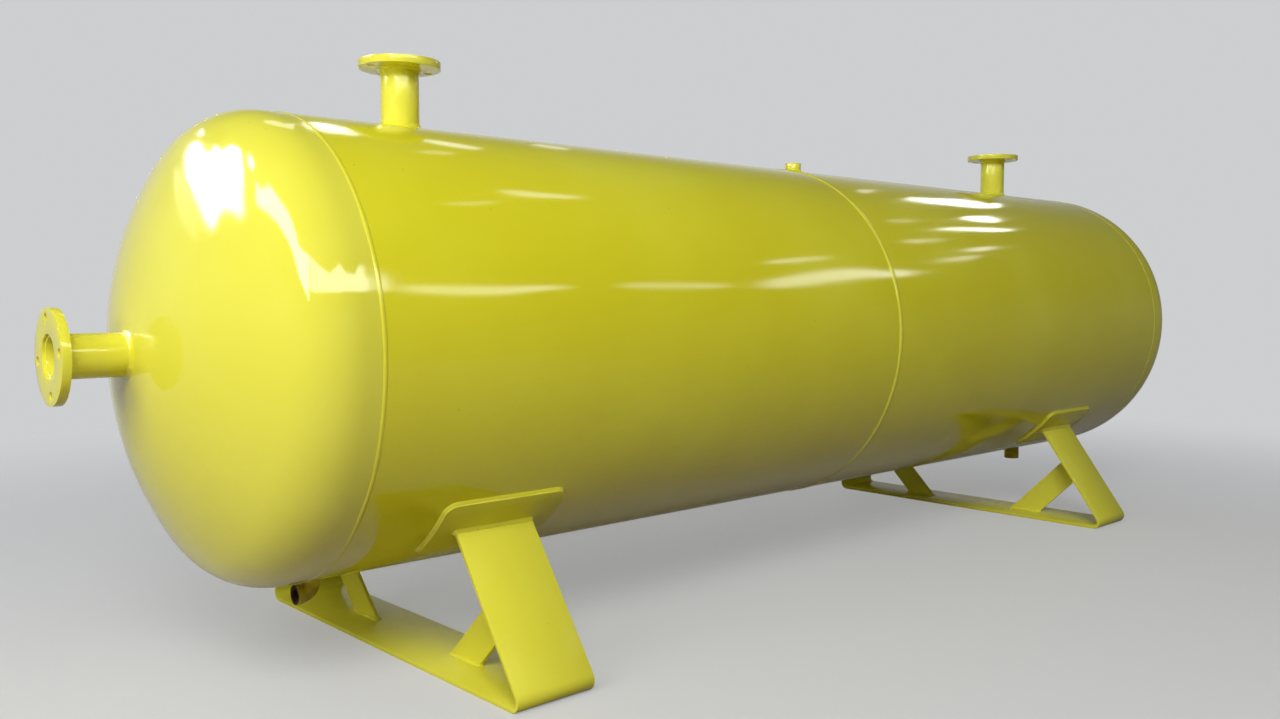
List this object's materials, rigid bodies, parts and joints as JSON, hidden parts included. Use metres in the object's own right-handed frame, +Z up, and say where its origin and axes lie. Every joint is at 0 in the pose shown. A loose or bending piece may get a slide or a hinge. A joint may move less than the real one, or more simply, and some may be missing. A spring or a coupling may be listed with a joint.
{
  "type": "horizontal pressure tank",
  "caption": "Horizontal welded pressure tank with dished heads, flanged nozzles, drain fittings and folded plate saddles",
  "frame": {"origin": "centre of the tank's overall footprint, on the ground under the saddles", "axes": "+X along the tank's axis towards the plain head, the end nozzle points to -X; +Z up; -Y is the side that the picture shows"},
  "size_m": [4.0816, 1.1318, 1.382],
  "materials": {
    "shell_enamel": "gloss yellow enamel over rolled plate",
    "fitting_enamel": "gloss yellow enamel over pipe and flange",
    "weld_enamel": "gloss yellow enamel over a weld bead",
    "saddle_enamel": "gloss yellow enamel over cut and bent plate"
  },
  "bodies": {
    "root": {"shell_course_left": "shell_enamel", "shell_course_right": "shell_enamel", "head_left": "shell_enamel", "head_right": "shell_enamel", "weld_girth_left": "weld_enamel", "weld_girth_middle": "weld_enamel", "weld_girth_right": "weld_enamel", "weld_long_left": "weld_enamel", "weld_long_right": "weld_enamel", "neck_top_left": "fitting_enamel", "flange_top_left": "fitting_enamel", "weld_neck_top_left": "weld_enamel", "neck_top_right": "fitting_enamel", "flange_top_right": "fitting_enamel", "weld_neck_top_right": "weld_enamel", "neck_end": "fitting_enamel", "flange_end": "fitting_enamel", "weld_neck_end": "weld_enamel", "coupling_top": "fitting_enamel", "weld_coupling_top": "weld_enamel", "stub_bottom_right": "fitting_enamel", "weld_stub_bottom_right": "weld_enamel", "drain_pipe": "fitting_enamel", "drain_elbow": "fitting_enamel", "weld_drain": "weld_enamel", "pad_left_near": "saddle_enamel", "pad_left_far": "saddle_enamel", "pad_right_near": "saddle_enamel", "pad_right_far": "saddle_enamel", "saddle_left": "saddle_enamel", "saddle_right": "saddle_enamel", "weld_legs_left": "weld_enamel", "weld_legs_right": "weld_enamel", "brace_left_near": "saddle_enamel", "brace_left_far": "saddle_enamel", "brace_right_near": "saddle_enamel", "brace_right_far": "saddle_enamel", "weld_braces_left": "weld_enamel", "weld_braces_right": "weld_enamel"}
  },
  "joints": []
}
